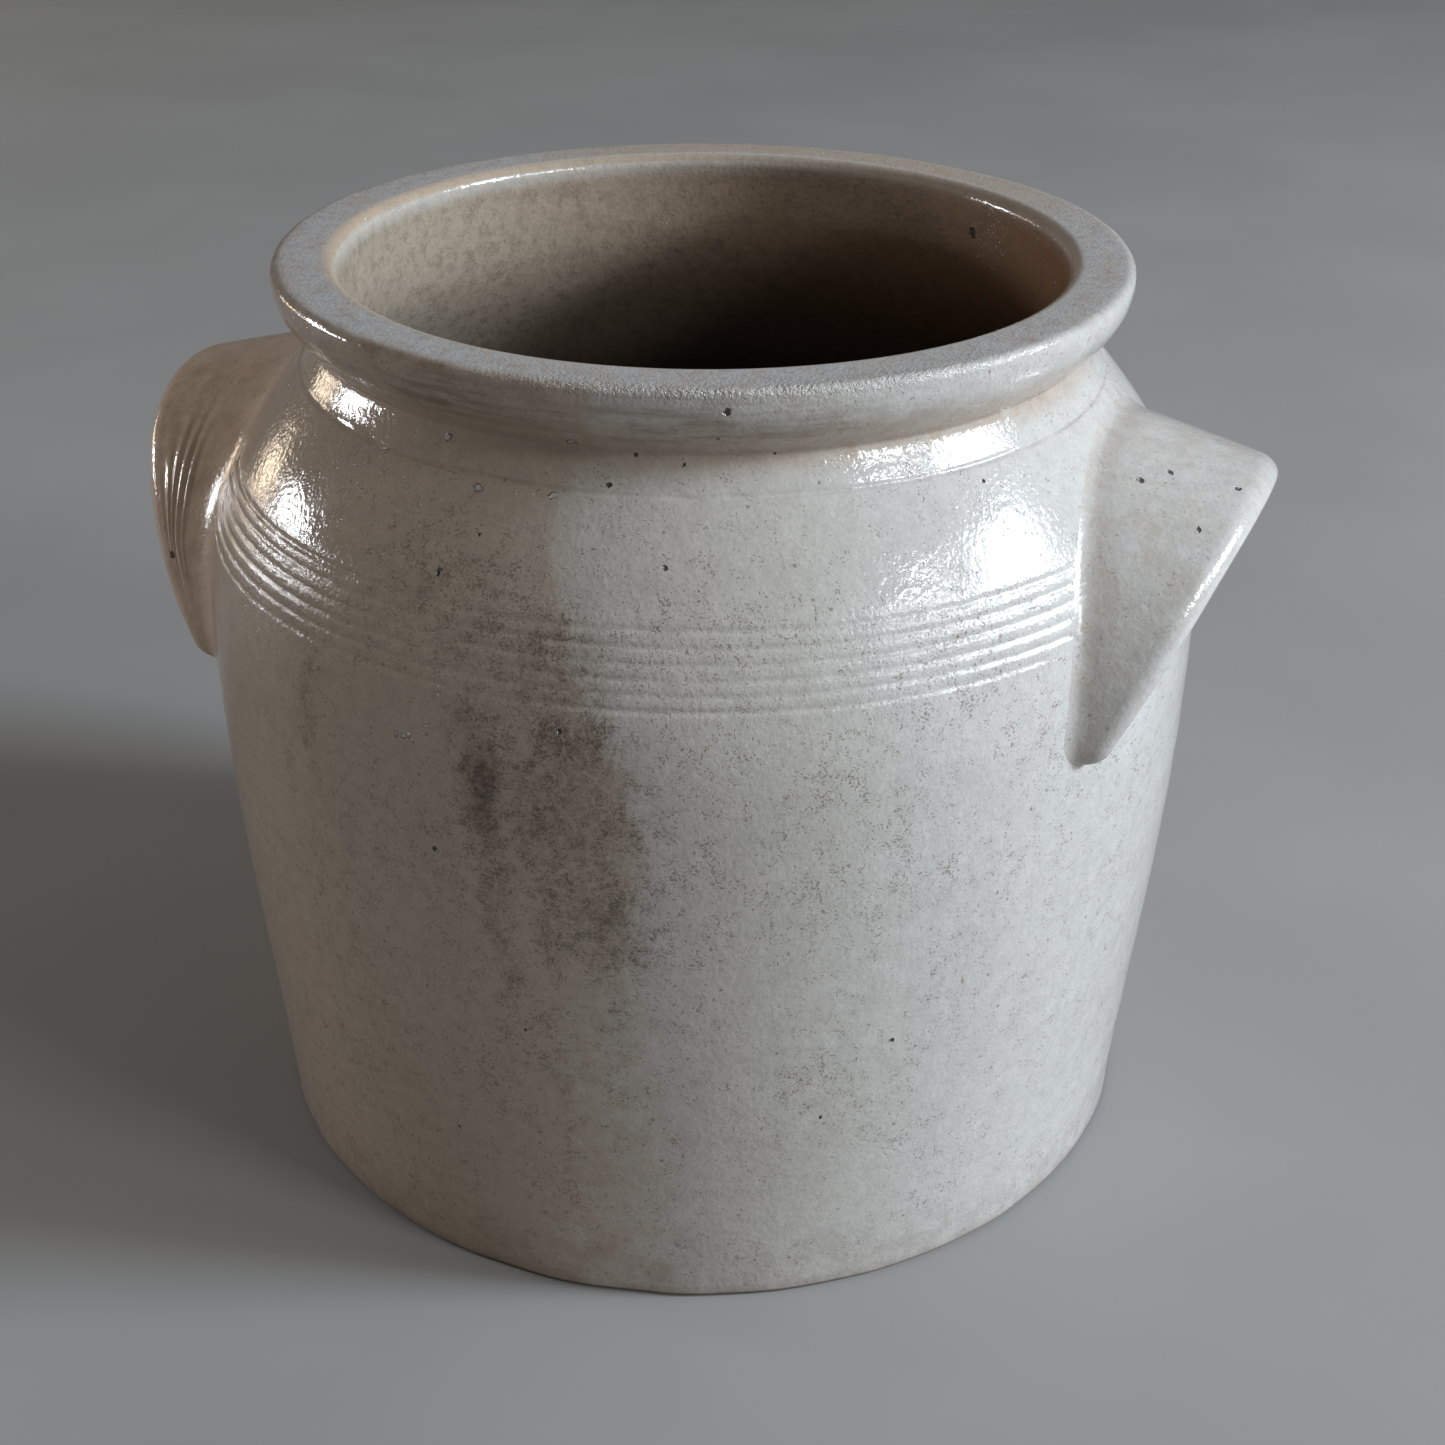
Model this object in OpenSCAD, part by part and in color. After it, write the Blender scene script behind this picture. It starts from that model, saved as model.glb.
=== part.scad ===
// Hand-thrown stoneware crock with a collared rim and two hooded ear lugs.
// All sizes are in millimetres. The origin is the centre of the base on the table, +Z is up,
// the lugs lie along X and -Y is the side that faces the viewer.

/* [Body] */
// Height of the rim above the table
crock_h = 200; // [185:1:240]
// Radius of the wall at the table
foot_r = 101; // [90:0.1:112]
// Rounding of the foot's bottom edge
foot_edge = 1.4; // [0.6:0.1:4]
// Outward lean of the wall at the foot, in radius gained per height
foot_lean = 0.07; // [0:0.01:0.15]
// Largest radius of the belly
belly_r = 109.7; // [104:0.1:120]
// Height of the belly's largest radius
belly_z = 124; // [105:1:135]
// Thickness of the wall
wall_t = 10; // [6:0.5:13]
// Thickness of the base
base_t = 12; // [8:0.5:18]
// Inside rounding where the base turns up into the wall
floor_corner = 14; // [5:0.5:25]

/* [Rim] */
// Outside radius of the neck at its narrowest ring
neck_r = 82.4; // [76:0.1:90]
// Thickness of the neck
neck_t = 6.4; // [5:0.1:9]
// How far the rim collar flares out past the neck
rim_flare = 8.3; // [4:0.1:12]
// Width of the rim from its outside in to the mouth
rim_w = 13.6; // [9:0.1:16]
// Height from the narrowest ring of the neck to the top of the rim
collar_h = 15.8; // [12:0.1:20]
// Rounding of the rim's outer top edge
rim_edge = 1.8; // [0.6:0.1:3]
// Rounding of the rim's inner top edge
mouth_edge = 3.1; // [1:0.1:4]
// Height of the sloping band between the shoulder's ledge and the narrowest ring
cove_h = 5.8; // [4:0.1:10]
// How far the ledge where the shoulder ends stands out past the neck
ledge_step = 3; // [2.5:0.1:7]
// Width of the fine line cut along the ledge
score_w = 1.5; // [0.8:0.1:3]
// Depth of that line
score_depth = 0.35; // [0.1:0.05:1]

/* [Combed lines] */
// Number of combed lines round the shoulder
comb_count = 6; // [0:1:8]
// Distance from the ledge down to the top line
comb_drop = 21; // [10:0.1:30]
// Distance from one line to the next
comb_pitch = 2.7; // [2.2:0.1:4]
// Width of one line
comb_w = 1.9; // [0.8:0.1:2.1]
// Depth of one line
comb_depth = 0.4; // [0.1:0.1:1]

/* [Lugs] */
// Bare wall between the ledge's line and the smeared clay at the top of a lug
lug_drop = 1.7; // [0.1:0.1:6]
// Height of the right lug along the wall, without its smeared edges
right_lug_h = 54.7; // [45:0.1:75]
// Height of the left lug along the wall, without its smeared edges
left_lug_h = 60.1; // [45:0.1:75]
// Height of the short upright leg at each end of a lug's arch
leg_h = 3.4; // [2:0.1:20]
// Half of a lug's width where it meets the wall
lug_half_w = 52.5; // [35:0.1:60]
// Half of a lug's width at its lip
lip_half_w = 50; // [34:0.1:60]
// How far the tip of the right lug's lip stands out past the belly
right_reach = 12.8; // [6:0.1:26]
// How far the tip of the left lug's lip stands out past the belly
left_reach = 14.3; // [6:0.1:26]
// How far the tip of the lip drops below the lug's top
lug_fall = 7.9; // [2:0.1:20]
// How far the lip stands off the wall where the legs begin
leg_stand = 5.3; // [3:0.1:12]
// Thickness of a lug at the wall
lug_t = 8.5; // [5:0.1:12]
// Thickness of a lug at its rounded lip
lip_t = 5; // [4:0.1:9]
// Width of the clay smeared along the right lug's joint
right_lute_w = 1.8; // [1:0.1:5]
// Width of the clay smeared along the left lug's joint
left_lute_w = 3.4; // [1:0.1:5]
// Thickness of the smeared clay at its edge
lute_edge = 0.4; // [0.2:0.1:1]
// Angle by which the right lug sits forward of the straight line through the axis
right_toe = 3.7; // [0:0.1:8]
// Angle by which the left lug sits forward of that line
left_toe = 0.9; // [0:0.1:8]
// Number of finger ridges along the left lug
ridge_count = 5; // [1:1:6]
// Height of the finger ridges
ridge_h = 0.4; // [0.1:0.1:1.5]

/* [Hidden] */

// Fit between a lug and the wall, as clay pressed on clay
seat_gap = 0.1;

// Radii that follow from the neck
rim_r = neck_r + rim_flare;
mouth_r = rim_r - rim_w;
ledge_r = neck_r + ledge_step;

// Heights that follow from the rim downwards
neck_z = crock_h - collar_h;
ledge_z = neck_z - cove_h;
comb_z = ledge_z - comb_drop - (comb_count - 1) * comb_pitch;
lug_limit_z = ledge_z - score_w - lug_drop;

// Reach of the curve handles along the profile
foot_pull = 36;
belly_low_pull = 50;
belly_high_pull = 8.1;
ledge_pull = 26.2;
cove_pull = 3;
cove_slope = 0.57;
neck_low_pull = 0.8;
neck_high_pull = 1.5;
rim_pull = 8.5;
throat_pull = 4;
inner_neck_pull = 18;
inner_belly_pull = 30;

// Share of a lug's run that is arch, and where on a leg and how far its width thins out
arch_share = 0.9;
leg_taper_start = 0.4;
leg_end_width = 0.45;
// Length of a leg's closing tip, and the least distance that its lip keeps from the wall
leg_tip = 1.5;
leg_end_stand = 1.2;
// Most of a section's length that its nose and its smeared corner may take
nose_limit = 0.4;
face_limit = 0.6;

// Heights of the lip above the legs' ends: where the arch begins, and where the lip runs out
lip_low_rise = 2.6;
lip_end_rise = 1.4;

// Number of steps in the curves
wall_steps = 24;
curve_steps = 9;
edge_steps = 6;
line_steps = 5;
ridge_steps = 4;
leg_steps = 5;
arch_steps = 32;
revolve_fn = 180;

clay = [0.71, 0.68, 0.62];
brown_clay = [0.58, 0.49, 0.42];

// Cubic curve through four handles
function curve(a, b, c, d, steps) =
    [for (i = [0:steps]) let (t = i / steps, u = 1 - t)
        u^3 * a + 3 * u^2 * t * b + 3 * u * t^2 * c + t^3 * d];

// Round corner about a centre, from one angle to another
function corner(centre, radius, from, to) =
    [for (i = [0:edge_steps]) let (a = from + (to - from) * i / edge_steps)
        centre + radius * [cos(a), sin(a)]];

// Smooth outer wall from the table to the ledge, as [radius, height]
lower_wall = curve(
    [foot_r, 0],
    [foot_r + foot_lean * foot_pull, foot_pull],
    [belly_r, belly_z - belly_low_pull],
    [belly_r, belly_z],
    wall_steps);
upper_wall = curve(
    [belly_r, belly_z],
    [belly_r, belly_z + belly_high_pull],
    [belly_r, ledge_z - ledge_pull],
    [ledge_r, ledge_z],
    wall_steps);
wall_table = [for (p = concat(lower_wall, upper_wall)) [p[1], p[0]]];

// Radius of the smooth outer wall at a height
function wall_r(z) = lookup(z, wall_table);

// Wall points that lie between two heights
function wall_between(low, high) =
    [for (p = concat(lower_wall, upper_wall)) if (p[1] > low && p[1] < high) p];

// One rounded line pressed into the wall at a height
function pressed_line(z, width, depth) =
    [for (k = [-3:3]) let (h = z + k * width / 6) [wall_r(h) - depth * (1 + cos(60 * k)) / 2, h]];

comb_low = comb_count > 0 ? comb_z - comb_w / 2 : belly_z;
comb_high = comb_count > 0 ? comb_low + comb_w + (comb_count - 1) * comb_pitch : belly_z;

outer_side = concat(
    corner([wall_r(foot_edge) - foot_edge, foot_edge], foot_edge, -90, 0),
    wall_between(foot_edge, comb_low),
    [for (i = [0:1:comb_count - 1]) each pressed_line(comb_z + i * comb_pitch, comb_w, comb_depth)],
    wall_between(comb_high, ledge_z - score_w),
    pressed_line(ledge_z - score_w / 2, score_w, score_depth));

rim_side = concat(
    curve(
        [ledge_r, ledge_z],
        [ledge_r - cove_slope * cove_pull, ledge_z + cove_pull],
        [neck_r, neck_z - neck_low_pull],
        [neck_r, neck_z],
        curve_steps),
    curve(
        [neck_r, neck_z],
        [neck_r, neck_z + neck_high_pull],
        [rim_r, crock_h - rim_edge - rim_pull],
        [rim_r, crock_h - rim_edge],
        curve_steps),
    corner([rim_r - rim_edge, crock_h - rim_edge], rim_edge, 0, 90),
    corner([mouth_r + mouth_edge, crock_h - mouth_edge], mouth_edge, 90, 180));

throat_r = neck_r - neck_t;
inner_belly_r = belly_r - wall_t;
corner_z = base_t + floor_corner;
inner_corner_r = wall_r(corner_z) - wall_t;
lower_count = len(lower_wall);

inner_side = concat(
    curve(
        [mouth_r, crock_h - mouth_edge],
        [mouth_r, crock_h - mouth_edge - throat_pull],
        [throat_r, neck_z + throat_pull],
        [throat_r, neck_z],
        curve_steps),
    curve(
        [throat_r, neck_z],
        [throat_r, neck_z - inner_neck_pull],
        [inner_belly_r, belly_z + inner_belly_pull],
        [inner_belly_r, belly_z],
        2 * curve_steps),
    [for (i = [lower_count - 2:-1:0]) let (p = lower_wall[i]) if (p[1] > corner_z) p - [wall_t, 0]],
    corner([inner_corner_r - floor_corner, corner_z], floor_corner, 0, -90),
    [[0, base_t]]);

// Steps out from the wall for the joint's seat and for its smeared edge
seat = [0, 0, seat_gap];
edge = [0, 0, lute_edge];

// The thrown pot: flat base, belly, combed shoulder, neck and collared rim in one turned piece
module crock_body() {
    color(clay)
        rotate_extrude($fn = revolve_fn)
            polygon(concat([[0, 0]], outer_side, rim_side, inner_side));
}

// Lugs are laid out in wall coordinates: [across, height, distance out from the wall]
function on_wall(p) =
    let (r = wall_r(p[1]) + p[2])
    [sqrt(r^2 - p[0]^2), p[0], p[1]];

// A lug runs from its left leg at -1 over the arch to its right leg at 1
stations = concat(
    [for (i = [0:leg_steps - 1]) -1 + (1 - arch_share) * i / leg_steps],
    [for (i = [0:arch_steps]) arch_share * (2 * i / arch_steps - 1)],
    [for (i = [1:leg_steps]) arch_share + (1 - arch_share) * i / leg_steps]);

// Angle along the arch, which stays upright on the legs, and the share of a leg that is passed
function arch_angle(s) = 90 * min(abs(s) / arch_share, 1);
function leg_run(s) = max(0, (abs(s) - arch_share) / (1 - arch_share));

// Share of the full width that is left as a leg thins out to its rounded end
function leg_width(s) =
    let (w = max(0, (leg_run(s) - leg_taper_start) / (1 - leg_taper_start)))
    leg_end_width + (1 - leg_end_width) * sqrt(1 - w^2);

// Outer line of the joint on the wall: an arch on two short legs, of the given height in all
function root_line(s, top, height) =
    let (
        a = arch_angle(s),
        arch_h = height - leg_h)
    [sign(s) * lug_half_w * sin(a), top - arch_h * (1 - cos(a)) - leg_h * leg_run(s), 0];

// Direction on the wall from that line into the finger hollow
function into_hollow(s) =
    let (a = arch_angle(s))
    [-sign(s) * sin(a), -cos(a), 0];

// Edge of the lip: an arch in one tilted plane, which runs on down to the ends of the legs
function lip_line(s, top, height, reach) =
    let (
        low_z = top - height + lip_low_rise,
        low_x = sqrt((wall_r(low_z) + leg_stand)^2 - lip_half_w^2),
        rise = top - lug_fall - low_z,
        a = arch_angle(s),
        up = cos(a) - leg_run(s) * (lip_low_rise - lip_end_rise) / rise,
        x = low_x + (belly_r + reach - low_x) * up,
        y = sign(s) * lip_half_w * sin(a),
        z = low_z + rise * up)
    [y, z, max(norm([x, y]) - wall_r(z), leg_end_stand)];

function unit(v) = v / norm(v);

// Points along a straight line, without its end
function line(from, to, steps) = [for (i = [0:steps - 1]) from + (to - from) * i / steps];

// Clay smeared in a corner, as a curve between two points that bends towards the corner, without its end
function smear(from, bend, to) =
    [for (i = [0:edge_steps - 1]) let (t = i / edge_steps, u = 1 - t)
        u^2 * from + 2 * u * t * bend + t^2 * to];

// Closed cross-section of a lug at one station, with ridges of the given height on its outer face
function lug_section(s, top, height, reach, lute_w, ridge) =
    let (
        width = leg_width(s),
        inward = into_hollow(s),
        lute = lute_w * width,
        root = root_line(s, top, height) + inward * lug_t * (1 - width) / 2,
        inner_root = root + inward * lug_t * width,
        outer_toe = root - inward * lute,
        inner_toe = inner_root + inward * lute,
        lip = lip_line(s, top, height, reach) + inward * lip_t * (1 - width) / 2,
        out = unit(lip - root),
        across = unit(inward - out * (out * inward)),
        nose_r = min(lip_t * width / 2, nose_limit * norm(lip - root)),
        outer_end = lip - out * nose_r,
        nose = outer_end + across * nose_r,
        inner_end = nose + across * nose_r,
        face = min(lute, face_limit * norm(outer_end - root)),
        outer_face = root + out * face,
        inner_face = inner_root + unit(inner_end - inner_root) * face,
        swell = ridge * sqrt(cos(arch_angle(s))),
        outer_line = line(outer_face, outer_end, ridge_steps * ridge_count))
    concat(
        line(inner_toe + seat, outer_toe + seat, line_steps),
        [outer_toe + seat],
        smear(outer_toe + edge, root + edge, outer_face),
        [for (i = [0:len(outer_line) - 1])
            outer_line[i] - across * swell * (1 - cos(360 * i / ridge_steps)) / 2],
        [for (i = [0:edge_steps]) let (a = 180 * i / edge_steps)
            nose + nose_r * (out * sin(a) - across * cos(a))],
        [for (i = [1:line_steps - 1]) inner_end + (inner_face - inner_end) * i / line_steps],
        smear(inner_face, inner_root + edge, inner_toe + edge),
        [inner_toe + edge]);

// A hooded ear: sections lofted over the arch, closed at a tip on the wall at the end of each leg
module lug(height, reach, lute_w, ridge) {
    top = lug_limit_z - lute_w;
    rings = [for (s = stations) lug_section(s, top, height, reach, lute_w, ridge)];
    m = len(rings[0]);
    n = len(rings);
    tips = [for (s = [-1, 1])
        root_line(s, top, height) + into_hollow(s) * lug_t / 2 + [0, -leg_tip, seat_gap]];
    points = [for (p = concat([for (ring = rings) each ring], tips)) on_wall(p)];
    skin = [for (j = [0:n - 2], i = [0:m - 1]) let (a = j * m + i, b = j * m + (i + 1) % m)
        each [[a, a + m, b], [b, a + m, b + m]]];
    first_end = [for (i = [0:m - 1]) [n * m, i, (i + 1) % m]];
    last_end = [for (i = [0:m - 1]) [n * m + 1, (n - 1) * m + (i + 1) % m, (n - 1) * m + i]];
    polyhedron(points, concat(skin, first_end, last_end));
}

// The smooth lug on the right
module right_lug() {
    color(clay)
        rotate([0, 0, -right_toe])
            lug(right_lug_h, right_reach, right_lute_w, 0);
}

// The lug on the left, with the potter's finger ridges left on it
module left_lug() {
    color(brown_clay)
        mirror([1, 0, 0])
            rotate([0, 0, -left_toe])
                lug(left_lug_h, left_reach, left_lute_w, ridge_h);
}

crock_body();
right_lug();
left_lug();
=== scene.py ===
import math

import bpy
import numpy as np
from mathutils import Matrix, Vector, noise


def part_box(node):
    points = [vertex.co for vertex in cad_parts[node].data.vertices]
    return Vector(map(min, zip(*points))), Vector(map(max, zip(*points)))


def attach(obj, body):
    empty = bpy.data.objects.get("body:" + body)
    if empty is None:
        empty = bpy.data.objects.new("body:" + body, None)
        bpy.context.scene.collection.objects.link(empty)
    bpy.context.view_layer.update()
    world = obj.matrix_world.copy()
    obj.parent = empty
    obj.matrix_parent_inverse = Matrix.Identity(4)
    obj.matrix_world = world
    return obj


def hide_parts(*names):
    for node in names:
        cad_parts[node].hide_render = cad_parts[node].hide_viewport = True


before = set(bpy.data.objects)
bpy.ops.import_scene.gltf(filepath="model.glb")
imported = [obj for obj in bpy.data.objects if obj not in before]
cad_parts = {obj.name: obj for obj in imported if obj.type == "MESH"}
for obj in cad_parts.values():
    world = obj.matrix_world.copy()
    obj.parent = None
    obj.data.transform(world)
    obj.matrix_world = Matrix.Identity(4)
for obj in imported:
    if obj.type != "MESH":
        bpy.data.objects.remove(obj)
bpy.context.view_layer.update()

# Sizes of the turned profile, in metres
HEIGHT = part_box("crock_body")[1].z
BELLY_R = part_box("crock_body")[1].x
BELLY_Z = 0.124
FOOT_R = 0.101
FOOT_EDGE = 0.0014
FOOT_LEAN = 0.07
WALL_T = 0.010
BASE_T = 0.012
FLOOR_CORNER = 0.014
RIM_R = 0.0907
RIM_EDGE = 0.0020
MOUTH_R = 0.0771
MOUTH_EDGE = 0.0031
COLLAR_H = 0.0158
NECK_R = 0.0824
NECK_T = 0.0064
COVE_H = 0.0058
LEDGE_R = 0.0854
NECK_Z = HEIGHT - COLLAR_H
LEDGE_Z = NECK_Z - COVE_H

# How far the handles of the profile's curves reach from their ends
FOOT_HANDLE = 0.036
BELLY_HANDLES = (0.050, 0.0081)
SHOULDER_HANDLE = 0.0262
COVE_HANDLES = ((0.00171, 0.003), 0.0008)
COLLAR_HANDLES = (0.0015, 0.0085)
THROAT_HANDLE = 0.004
INNER_HANDLES = (0.018, 0.030)
WALL_STEPS = 200

# The fine line along the ledge and the combed lines round the shoulder
SCORE_W = 0.0015
SCORE_DEPTH = 0.000525
SCORE_SPAN = 1.3 * SCORE_W
COMB_COUNT = 6
COMB_PITCH = 0.0027
COMB_TOP_Z = LEDGE_Z - 0.021
COMB_W = 0.0019
COMB_DEPTH = 0.0003
LINE_WAVER = 0.00025

# The glaze has filled the combed lines most round this azimuth
WORN_SHARE = 0.45
WORN_AZIMUTH = -10.0
WORN_WIDTH = 24.0

# How far hand work strays: the wall's swells and rings, the collar's streaks and the foot's edge
SWELL = 0.00035
RINGS = 0.0001
UNEVEN_FROM_Z = 0.012
COLLAR_STREAK = 0.00012
FOOT_STRAY = 0.0005

# Sizes that both hooded lugs share
LUG_LIMIT_Z = LEDGE_Z - SCORE_W - 0.0017
LEG_H = 0.0034
LUG_HALF_W = 0.0525
LIP_HALF_W = 0.050
LUG_FALL = 0.0079
LEG_STAND = 0.0053
LUG_T = 0.0085
LIP_T = 0.005
LIP_LOW_RISE = 0.0026
LIP_END_RISE = 0.0002
ARCH_SHARE = 0.9
LEG_END_WIDTH = 0.08
LEG_END_STAND = 0.12
END_ROUND = (0.0080, 0.0045)
LUG_SEAT = 0.0001
TIP_DROP = 0.0003
LUG_STRAY = 0.00025
COVER_FADE = 0.004

# Steps along a lug, and round its section from the outer joint over the lip to the inner joint
LEG_STEPS = 16
ARCH_STEPS = 120
OUTER_BEND_STEPS = 12
SLAB_STEPS = 44
NOSE_STEPS = 16
UNDER_STEPS = 11
INNER_BEND_STEPS = 9
NOSE_AT = 1 + OUTER_BEND_STEPS + SLAB_STEPS + NOSE_STEPS // 2

# Folds that fingers left on a lug: [place along it from -1 to 1, width, strength], and their depths
FOLD_PLACES = [(-0.52, 0.17, 1.0), (0.45, 0.20, 0.3)]
FOLD_COUNT = 4.0
FOLD_DEPTH = 0.00055
FOLD_BROAD = 0.0003
FOLD_FINE = 0.0001

# Each lug: side, turn forward in degrees, height, reach,
# width of its smeared joint and width of its soft fillet
RIGHT = {"side": 1, "toe": 3.7, "height": 0.0547, "reach": 0.0128, "lute": 0.0018, "fillet": 0.0020}
LEFT = {"side": -1, "toe": 0.9, "height": 0.0601, "reach": 0.0143, "lute": 0.0034, "fillet": 0.0050}

# The body's grid: columns round the pot, which lie closer together at the front
COLUMNS = 360
FRONT_DENSITY = 0.35
FRONT_AZIMUTH = 17.0

# The turn in which a face names its corners, so that it points out of the clay
POT_ORDER = (0, 3, 2, 1)
LUG_ORDER = {1: (0, 1, 2, 3), -1: (3, 2, 1, 0)}

# Share of the texture that each end of a lug takes
UV_END = 0.02


def bezier(a, b, c, d, steps):
    """Points of a cubic curve from a to d with handles b and c, as rows of [radius, height]."""
    t = np.linspace(0, 1, steps + 1)[:, None]
    u = 1 - t
    a, b, c, d = (np.array(p, float) for p in (a, b, c, d))
    return u**3 * a + 3 * u**2 * t * b + 3 * u * t**2 * c + t**3 * d


def arc(centre, radius, start, end, steps):
    """Points of a round corner, with angles in degrees."""
    a = np.radians(np.linspace(start, end, steps + 1))
    return np.array(centre) + radius * np.stack([np.cos(a), np.sin(a)], 1)


def straight(a, b, steps):
    """Points of a straight stretch."""
    t = np.linspace(0, 1, steps + 1)[:, None]
    return np.array(a) * (1 - t) + np.array(b) * t


lower_wall = bezier(
    (FOOT_R, 0), (FOOT_R + FOOT_LEAN * FOOT_HANDLE, FOOT_HANDLE),
    (BELLY_R, BELLY_Z - BELLY_HANDLES[0]), (BELLY_R, BELLY_Z), WALL_STEPS)
upper_wall = bezier(
    (BELLY_R, BELLY_Z), (BELLY_R, BELLY_Z + BELLY_HANDLES[1]),
    (BELLY_R, LEDGE_Z - SHOULDER_HANDLE), (LEDGE_R, LEDGE_Z), WALL_STEPS)
wall_line = np.concatenate([lower_wall, upper_wall[1:]])


def wall_r(z):
    """Radius of the smooth outer wall at a height."""
    return np.interp(z, wall_line[:, 1], wall_line[:, 0])


def wall_rows(low, high, steps):
    """Rows of the outer wall between two heights."""
    z = np.linspace(low, high, steps + 1)
    return np.stack([wall_r(z), z], 1)


def profile():
    """The closed outline of the pot from the middle of the base, out and up, in and down to the floor.

    Returns its rows and the number of the first row of each named stretch.
    """
    comb_low = COMB_TOP_Z - (COMB_COUNT - 1) * COMB_PITCH - COMB_W
    comb_high = COMB_TOP_Z + COMB_W
    score_low = LEDGE_Z - SCORE_SPAN
    foot_r = wall_r(FOOT_EDGE)
    corner_z = BASE_T + FLOOR_CORNER
    corner_r = wall_r(corner_z) - WALL_T
    inner_low = wall_rows(BELLY_Z, corner_z, 18)
    inner_low[:, 0] -= WALL_T
    throat_r = NECK_R - NECK_T
    stretches = {
        "base": straight((0, 0), (foot_r - FOOT_EDGE, 0), 8),
        "foot": arc((foot_r - FOOT_EDGE, FOOT_EDGE), FOOT_EDGE, -90, 0, 6),
        "wall": wall_rows(FOOT_EDGE, comb_low, 62),
        "comb": wall_rows(comb_low, comb_high, 54),
        "shoulder": wall_rows(comb_high, score_low, 14),
        "score": wall_rows(score_low, LEDGE_Z, 12),
        "cove": bezier((LEDGE_R, LEDGE_Z), (LEDGE_R - COVE_HANDLES[0][0], LEDGE_Z + COVE_HANDLES[0][1]),
                       (NECK_R, NECK_Z - COVE_HANDLES[1]), (NECK_R, NECK_Z), 9),
        "collar": bezier((NECK_R, NECK_Z), (NECK_R, NECK_Z + COLLAR_HANDLES[0]),
                         (RIM_R, HEIGHT - RIM_EDGE - COLLAR_HANDLES[1]), (RIM_R, HEIGHT - RIM_EDGE), 24),
        "edge": arc((RIM_R - RIM_EDGE, HEIGHT - RIM_EDGE), RIM_EDGE, 0, 90, 8),
        "top": straight((RIM_R - RIM_EDGE, HEIGHT), (MOUTH_R + MOUTH_EDGE, HEIGHT), 6),
        "lip": arc((MOUTH_R + MOUTH_EDGE, HEIGHT - MOUTH_EDGE), MOUTH_EDGE, 90, 180, 10),
        "throat": bezier((MOUTH_R, HEIGHT - MOUTH_EDGE), (MOUTH_R, HEIGHT - MOUTH_EDGE - THROAT_HANDLE),
                         (throat_r, NECK_Z + THROAT_HANDLE), (throat_r, NECK_Z), 8),
        "inner": bezier((throat_r, NECK_Z), (throat_r, NECK_Z - INNER_HANDLES[0]),
                        (BELLY_R - WALL_T, BELLY_Z + INNER_HANDLES[1]), (BELLY_R - WALL_T, BELLY_Z), 20),
        "inner_low": inner_low,
        "corner": arc((corner_r - FLOOR_CORNER, corner_z), FLOOR_CORNER, 0, -90, 6),
        "floor": straight((corner_r - FLOOR_CORNER, BASE_T), (0, BASE_T), 6),
    }
    rows, first = [np.zeros((1, 2))], {}
    for name, points in stretches.items():
        first[name] = sum(len(r) for r in rows) - 1
        rows.append(points[1:])
    return np.concatenate(rows), first


def smooth_step(x, low, high):
    """0 below low, 1 above high, and a soft ramp between them."""
    t = np.clip((x - low) / (high - low), 0, 1)
    return t * t * (3 - 2 * t)


def band(x, low, full, end, high):
    """0 below low, 1 from full to end and 0 above high, with soft ramps between them."""
    return smooth_step(x, low, full) * (1 - smooth_step(x, end, high))


def wave(points, scale, seed):
    """Smooth noise from -1 to 1 at each point, with features of about 1 / scale."""
    shift = Vector((seed * 17.3, seed * 5.1, seed * 29.7))
    return np.array([noise.noise(Vector(p) * scale + shift) for p in points])


def azimuth_of(points):
    """Angle round the pot in degrees: 0 faces -Y and 90 faces +X."""
    return np.degrees(np.arctan2(points[:, 0], -points[:, 1]))


def unit(v):
    """Vectors of length 1 along the given ones."""
    return v / np.linalg.norm(v, axis=-1, keepdims=True)


def uneven(points):
    """How far the thrown wall strays from a true turned surface."""
    lift = smooth_step(points[:, 2], 0, UNEVEN_FROM_Z)
    return lift * (SWELL * wave(points, 9, 1) + RINGS * wave(points * [1, 1, 7], 22, 2))


def lug_azimuth(lug):
    """The azimuth of a lug's middle, in degrees."""
    return lug["side"] * (90 - lug["toe"])


def lug_cover(points):
    """1 where the clay of a lug lies on the wall, fading to 0 a few millimetres away from it."""
    cover = np.zeros(len(points))
    z = points[:, 2]
    for lug in (RIGHT, LEFT):
        turn = np.radians(azimuth_of(points) - lug_azimuth(lug))
        across = np.abs(np.hypot(points[:, 0], points[:, 1]) * np.sin(turn))
        arch_h = lug["height"] - LEG_H
        centre_z = LUG_LIMIT_Z - lug["lute"] - arch_h
        half_w = LUG_HALF_W - LUG_T / 2
        half_h = arch_h - LUG_T / 2
        on_arch = np.abs(np.hypot(across / half_w, (z - centre_z) / half_h) - 1) * (half_w + half_h) / 2
        below = np.maximum(0, centre_z - LEG_H - z)
        away = np.where(z > centre_z, on_arch, np.hypot(across - half_w, below))
        away = np.where(np.cos(turn) > 0, away, 1)
        cover = np.maximum(cover, 1 - smooth_step(away, LUG_T / 2, LUG_T / 2 + COVER_FADE))
    return cover


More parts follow.
